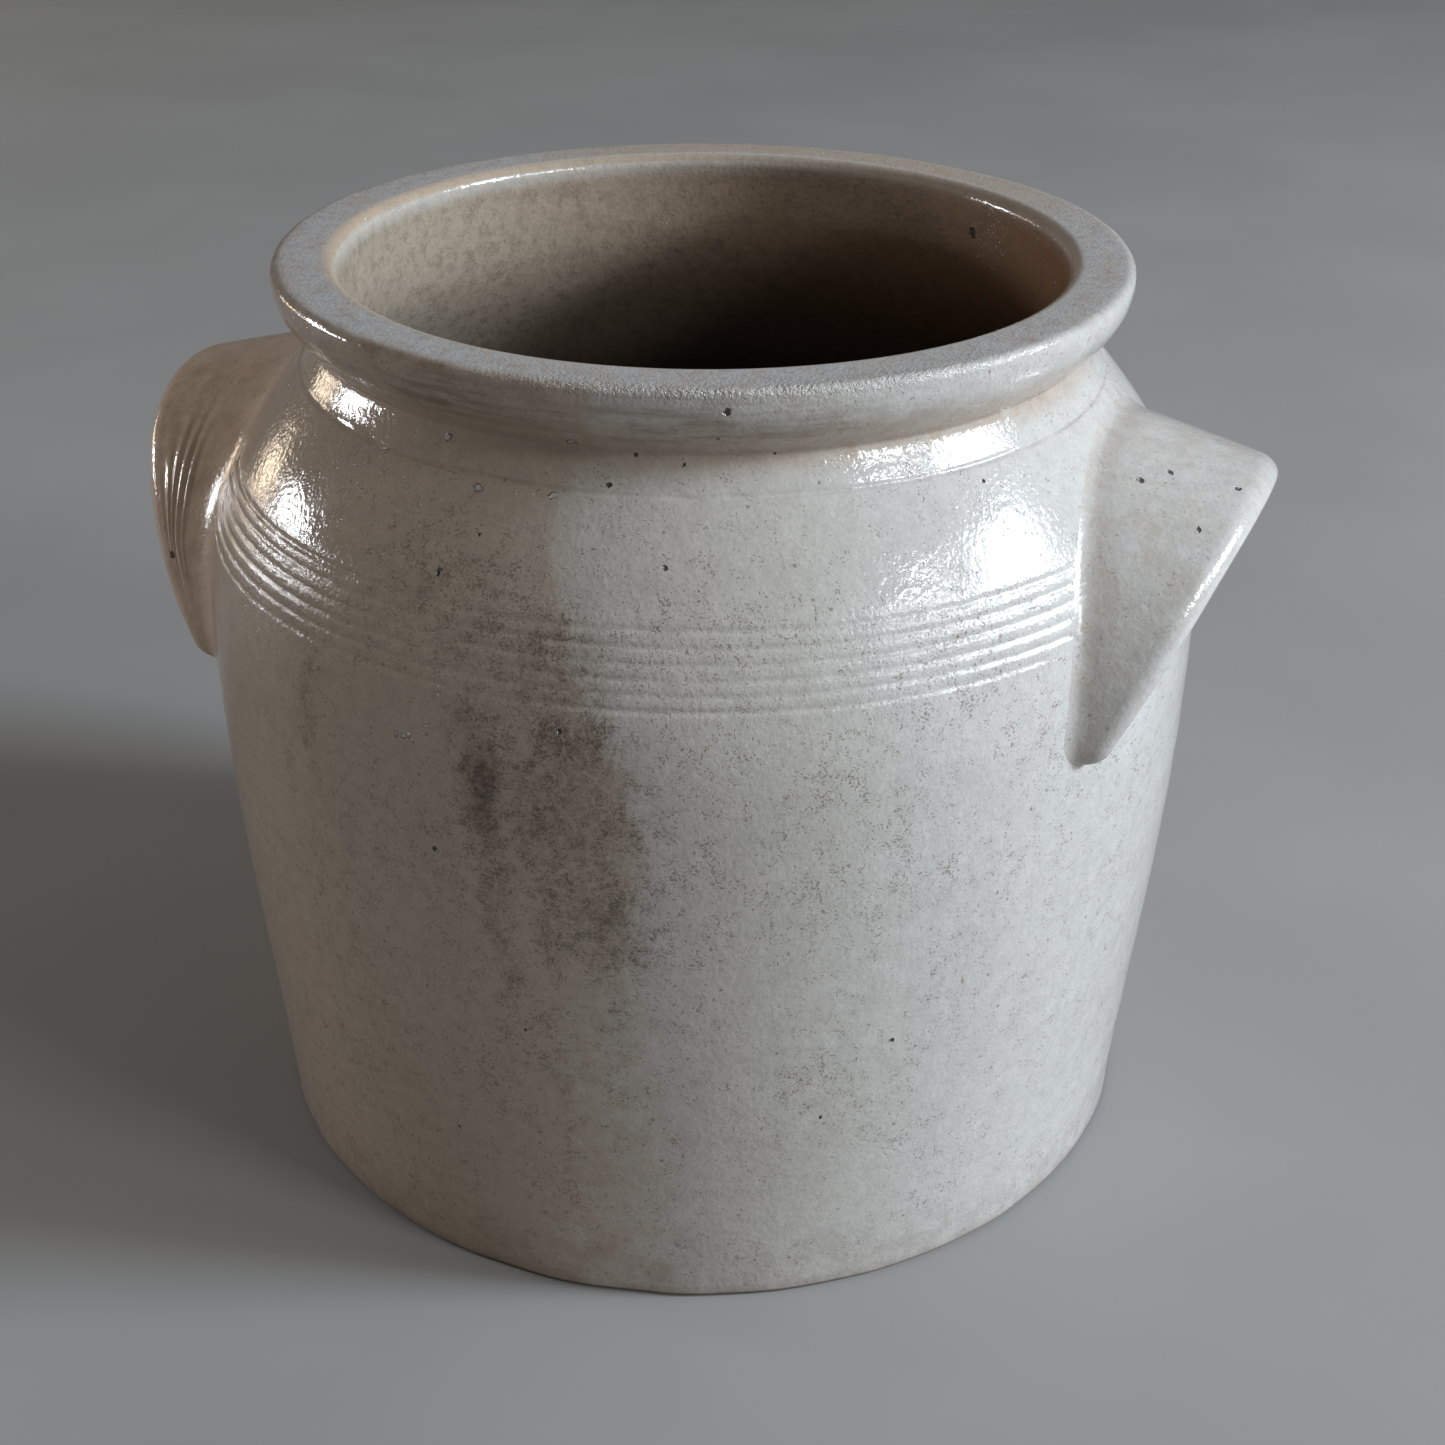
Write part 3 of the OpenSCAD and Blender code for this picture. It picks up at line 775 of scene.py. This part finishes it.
def body_glaze():
    """Grey salt glaze: orange-peel gloss over specked clay, brown on one side and stained in places."""
    material = bpy.data.materials.new("grey_salt_glaze")
    material.use_nodes = True
    n = Nodes(material.node_tree)

    # Grey clay, browner on one side of a ragged border, and low on the left with painted shade
    cloud = n.noise(28, 4, 0.6)
    ragged = n.noise(190, 4, 0.65)
    colour = n.mix(n.ramp(cloud, 0.35, 0.75), GREY, PALE_AND_HIGHLIGHT)
    edge = n.math("MULTIPLY_ADD", n.math("SUBTRACT", ragged, 0.5), 0.35, n.mask("edge"))
    brown = n.math("MULTIPLY_ADD", n.ramp(edge, 0.42, 0.60), 0.40, n.times(n.mask("warm"), 0.55))
    colour = n.mix(n.times(brown, n.mask("brown_side")), colour, WARM_AND_SHADE)

    # The stain: a thin wash with darker clots
    stain = n.mask("stain")
    grain = n.noise(420, 4, 0.7)
    cluster = n.math("SUBTRACT", n.noise(330, 3, 0.65), 0.5)
    blotch = n.math("MULTIPLY_ADD", cluster, 0.9, n.math("MULTIPLY_ADD", ragged, 0.6, stain))
    blotch = n.math("MULTIPLY_ADD", n.math("SUBTRACT", n.noise(1100, 3, 0.7), 0.5), 1.5, blotch)
    wash = n.times(n.ramp(blotch, 0.25, 1.20), n.ramp(stain, 0.03, 0.35, 0.0, 0.62))
    colour = n.mix(wash, colour, BROWN_WASH_AND_SHADE)
    clot = n.ramp(n.math("MULTIPLY_ADD", grain, 1.2, n.times(stain, 0.6)), 0.95, 1.40)
    colour = n.mix(n.times(clot, n.ramp(stain, 0.3, 0.9)), colour, STAIN)

    # Fine specks, close together in places
    worms = n.noise(1900, 2, 0.7, (1.0, 1.0, 1.25))
    patch = n.noise(60, 4, 0.65)
    density = n.math("MULTIPLY_ADD", stain, 0.12, n.times(n.mask("speckle"), 0.08))
    density = n.math("MULTIPLY_ADD", n.ramp(patch, 0.40, 0.68), 0.06, density)
    density = n.math("MULTIPLY_ADD", cluster, 0.55, density)
    level = n.math("SUBTRACT", 0.68, density)
    specks = n.ramp(n.math("SUBTRACT", worms, level), -0.03, 0.06)
    speck_tone = n.mix(n.ramp(stain, 0.1, 0.5), SPECK, STAIN)
    colour = n.mix(n.times(specks, 0.58), colour, speck_tone)
    dust = n.ramp(n.dots(170), 0.085, 0.045)
    colour = n.mix(n.times(dust, 0.55), colour, SPECK)

    # Painted shade in the cove under the collar, browner there, and the collar's brown streaks
    cove = n.times(n.mask("cove"), n.ramp(ragged, 0.3, 0.7, 0.50, 0.90))
    colour = n.mix(cove, colour, WARM_AND_SHADE)
    collar = n.mask("collar")
    streaks = n.noise(300, 3, 0.6, (0.25, 0.25, 2.6))
    colour = n.mix(n.times(n.ramp(streaks, 0.42, 0.68), n.times(collar, 0.75)), colour, RIM_BROWN)
    colour = n.mix(n.times(n.ramp(ragged, 0.40, 0.70), n.times(collar, 0.35)), colour, BROWN_WASH_AND_SHADE)

    # The inside, darker with depth as a darker glaze and painted shade, and its tan and white lip
    depth = n.node("ShaderNodeSeparateXYZ", {0: n.place}).outputs[2]
    inner = n.mix(n.mask("inside_brown"), INSIDE, INSIDE_BROWN)
    inner = n.mix(n.times(n.ramp(n.noise(330, 4, 0.75), 0.44, 0.66), 0.45), inner, INSIDE_MOTTLE)
    inner = n.mix(n.times(n.ramp(worms, 0.57, 0.66), 0.45), inner, SPECK)
    # Darker towards the bottom: a darker glaze and painted shade
    inner = n.mix(n.ramp(depth, 0.180, 0.125), inner, DEEP_GLAZE_AND_SHADE)
    colour = n.mix(n.mask("inside"), colour, inner)
    lip = n.mask("lip")
    tan = n.times(n.ramp(lip, 0.03, 0.14), n.ramp(lip, 0.42, 0.30))
    tan_tone = n.mix(n.times(n.mask("inside_brown"), 0.7), LIP_TAN, RIM_BROWN)
    colour = n.mix(n.times(tan, 0.65), colour, tan_tone)
    # A white line round the inner lip, partly painted highlight, strongest on the left where the key light
    # falls
    white_and_highlight = n.times(n.ramp(lip, 0.30, 0.42), n.ramp(lip, 0.66, 0.54))
    colour = n.mix(n.times(white_and_highlight, n.ramp(n.mask("inside_brown"), 0.9, 0.2, 0.10, 0.45)), colour, LIP_WHITE_AND_GLINT)

    # The matte rim and its edge
    rim = n.mask("rim")
    rim_tone = n.mix(n.times(n.ramp(n.noise(160, 4, 0.7), 0.42, 0.70), 0.6), RIM, WARM_AND_SHADE)
    rim_tone = n.mix(n.times(n.ramp(grain, 0.48, 0.70), 0.42), rim_tone, BROWN_WASH_AND_SHADE)
    rim_tone = n.mix(n.times(n.mask("rim_back"), 0.7), rim_tone, RIM_TAN)
    colour = n.mix(rim, colour, rim_tone)
    # Painted glints: pale sparkles on the gritty outer edge of the rim, at the front and right
    glint = n.times(n.mask("grit_and_glint"), n.ramp(worms, 0.50, 0.62))
    colour = n.mix(n.times(glint, 0.6), colour, LIP_WHITE_AND_GLINT)
    rim_edge = n.times(n.mask("rim_edge"), n.ramp(ragged, 0.36, 0.66))
    colour = n.mix(n.times(rim_edge, 0.55), colour, RIM_BROWN)

    # Pits, pimples painted pale as glints, and the foot with painted contact shade
    pits = n.spots([(*outer_place(a, z), r) for a, z, r in PITS] + [MOUTH_PIT])
    pimples = n.spots([(*outer_place(a, z), r) for a, z, r in PIMPLES])
    colour = n.mix(n.times(pits, 0.92), colour, PIT)
    # Pimples painted pale, standing in for their glints
    colour = n.mix(n.times(pimples, 0.45), colour, PALE_AND_HIGHLIGHT)
    colour = n.mix(n.times(n.mask("foot"), n.ramp(ragged, 0.3, 0.7, 0.05, 0.30)), colour, BROWN_WASH_AND_SHADE)
    # The bare foot, its clay darkened with painted contact shade
    colour = n.mix(n.mask("bare_and_shade"), colour, BARE_CLAY_AND_SHADE)

    # Gloss and relief
    rough = n.ramp(n.noise(60, 3, 0.6), 0.3, 0.7, 0.07, 0.12)
    rough = n.math("MULTIPLY_ADD", stain, 0.12, rough)
    rough = n.math("MULTIPLY_ADD", rim, 0.34, rough)
    rough = n.math("MULTIPLY_ADD", n.mask("bare_and_shade"), 0.50, rough)
    crust = n.noise(1300, 3, 0.65)
    gritty = n.math("MULTIPLY_ADD", n.mask("grit_and_glint"), 7.0, n.times(rim, 2.2))
    height = n.times(crust, n.math("MULTIPLY_ADD", n.mask("comb"), 1.2, gritty))
    height = n.math("MULTIPLY_ADD", pits, -6.0, height)
    height = n.math("MULTIPLY_ADD", pimples, 14.0, height)
    height = n.math("MULTIPLY_ADD", specks, -0.4, height)
    glaze_finish(n, colour, rough, height, 0.42)
    return material


def lug_glaze(name, tone, shade, lip_highlight_tone, shade_tone, joint_shade, gloss, spots):
    """The glaze of a lug, mottled between two tones, with a painted highlight on its lip
    and painted shade along its joint and in its hollow.
    """
    material = bpy.data.materials.new(name)
    material.use_nodes = True
    n = Nodes(material.node_tree)
    cloud = n.noise(130, 5, 0.75)
    colour = n.mix(n.ramp(cloud, 0.35, 0.72), tone, shade)
    worms = n.noise(1300, 2, 0.6)
    patch = n.noise(80, 4, 0.65)
    level = n.math("MULTIPLY_ADD", n.ramp(patch, 0.40, 0.70), -0.07, 0.69)
    specks = n.ramp(n.math("SUBTRACT", worms, level), -0.02, 0.035)
    colour = n.mix(n.times(specks, 0.45), colour, SPECK)
    # Painted shade along the lug's joint with the wall
    colour = n.mix(n.times(n.mask("lug_joint_shade"), joint_shade), colour, shade_tone)
    # A painted highlight: the lip's rounded edge made paler
    colour = n.mix(n.times(n.mask("lug_lip_highlight"), 0.45), colour, lip_highlight_tone)
    # Painted shade in the hollow under the hood
    colour = n.mix(n.times(n.mask("lug_under_shade"), 0.55), colour, shade_tone)
    pits = n.spots(spots)
    colour = n.mix(n.times(pits, 0.85), colour, PIT)
    rough = n.ramp(n.noise(80, 3, 0.6), 0.3, 0.7, gloss, gloss + 0.08)
    glaze_finish(n, colour, rough, n.times(pits, -6.0), 0.40)
    return material


def dress(piece, node, material):
    """Puts a piece in a node's place, with its material."""
    piece.data.materials.append(material)
    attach(piece, "root")
    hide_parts(node)


# Camera, solved from the outline of the rim, the wall and the base
IMAGE_W = 1445
FOCAL_PX = 2253.4
CAMERA_AZIMUTH = 17.125
CAMERA_AWAY = 0.46901
CAMERA_HEIGHT = 0.33474
CAMERA_PITCH = 28.0013
CAMERA_YAW = 0.5596
CAMERA_ROLL = 0.3545
SENSOR_W = 36.0
NEAREST = 0.01

# Lamps: name, azimuth, elevation, size, light that leaves the surface, and colour
LAMPS = [
    ("key", 98, 25, (0.46, 0.38), 70.0, (0.80, 0.885, 1.0)),
    ("key_wide", 98, 25.5, (0.84, 0.56), 13.0, (0.80, 0.90, 1.0)),
    ("key_side", 71, 28, (0.48, 0.32), 25.0, (0.91, 0.96, 1.0)),
    ("fill", -94, 9, (0.52, 0.23), 34.0, (0.96, 0.97, 1.0)),
    ("fill_warm", -112, 4, (0.34, 0.26), 8.0, (1.0, 0.82, 0.62)),
]
LAMP_AWAY = 2.2
LAMP_AIM_Z = 0.6 * HEIGHT
ROOM_COLOUR = (1.0, 0.94, 0.88, 1.0)
ROOM_LIGHT = 0.17
FLOOR_HALF = 6.0
FLOOR_TONES = ((0.30, 0.295, 0.285), (0.33, 0.325, 0.315))


def camera():
    """The camera that took the photograph, as solved."""
    data = bpy.data.cameras.new("camera")
    data.sensor_width = SENSOR_W
    data.lens = FOCAL_PX / IMAGE_W * data.sensor_width
    data.clip_start = NEAREST
    holder = bpy.data.objects.new("camera", data)
    bpy.context.scene.collection.objects.link(holder)
    a = math.radians(CAMERA_AZIMUTH)
    place = Matrix.Translation((CAMERA_AWAY * math.sin(a), -CAMERA_AWAY * math.cos(a), CAMERA_HEIGHT))
    turn = Matrix.Rotation(math.radians(CAMERA_AZIMUTH - CAMERA_YAW), 4, "Z")
    tilt = Matrix.Rotation(math.radians(90 - CAMERA_PITCH), 4, "X")
    roll = Matrix.Rotation(math.radians(CAMERA_ROLL), 4, "Z")
    holder.matrix_world = place @ turn @ tilt @ roll
    bpy.context.scene.camera = holder


def softbox(name, azimuth, elevation, size, radiance, colour):
    """A flat lamp that faces the pot, with its brightness given as the light that leaves its surface."""
    data = bpy.data.lights.new(name, "AREA")
    data.shape = "RECTANGLE"
    data.size, data.size_y = size
    data.energy = radiance * math.pi * size[0] * size[1]
    data.color = colour
    lamp = bpy.data.objects.new(name, data)
    bpy.context.scene.collection.objects.link(lamp)
    a, e = math.radians(azimuth), math.radians(elevation)
    way = Vector((math.sin(a) * math.cos(e), -math.cos(a) * math.cos(e), math.sin(e)))
    aim = Vector((0, 0, LAMP_AIM_Z))
    lamp.location = aim + way * LAMP_AWAY
    lamp.rotation_mode = "QUATERNION"
    lamp.rotation_quaternion = way.to_track_quat("Z", "Y")


def lights():
    """The lamps and the dim room round them."""
    for lamp in LAMPS:
        softbox(*lamp)
    world = bpy.data.worlds.new("room")
    world.use_nodes = True
    back = world.node_tree.nodes["Background"]
    back.inputs["Color"].default_value = ROOM_COLOUR
    back.inputs["Strength"].default_value = ROOM_LIGHT
    bpy.context.scene.world = world


def floor():
    """A plain grey floor."""
    half = FLOOR_HALF
    corners = [(-half, -half, 0), (half, -half, 0), (half, half, 0), (-half, half, 0)]
    piece = mesh_object("floor", corners, [(0, 1, 2, 3)])
    material = bpy.data.materials.new("floor")
    material.use_nodes = True
    n = Nodes(material.node_tree)
    tone = n.mix(n.ramp(n.noise(6, 3), 0.3, 0.7), *FLOOR_TONES)
    shader = n.node("ShaderNodeBsdfPrincipled", {"Base Color": tone, "Roughness": 0.75})
    n.node("ShaderNodeOutputMaterial", {"Surface": shader.outputs[0]})
    piece.data.materials.append(material)


# Small dark pits on each lug: [x, y, z, radius]
RIGHT_LUG_PITS = [
    (0.10344, -0.01964, 0.16828, 0.0008), (0.09838, -0.02469, 0.16789, 0.0009),
    (0.11675, -0.01790, 0.16559, 0.0008), (0.11113, -0.03167, 0.16184, 0.0008),
]
LEFT_LUG_PITS = [(-0.10676, -0.04841, 0.13435, 0.0009)]

dress(crock_body(), "crock_body", body_glaze())
dress(hooded_lug("right_ear", RIGHT, 0.0, 7), "right_lug",
      lug_glaze("grey_lug_glaze", LUG_GREY, LUG_TAN, PALE_AND_HIGHLIGHT, BROWN_WASH_AND_SHADE, 0.22, 0.13, RIGHT_LUG_PITS))
dress(hooded_lug("left_ear", LEFT, 1.0, 9), "left_lug",
      lug_glaze("brown_lug_glaze", LUG_BROWN, LUG_DARK, LUG_BROWN, BROWN_WASH_AND_SHADE, 0.10, 0.10, LEFT_LUG_PITS))
floor()
camera()
lights()
bpy.context.scene.view_settings.view_transform = "Standard"
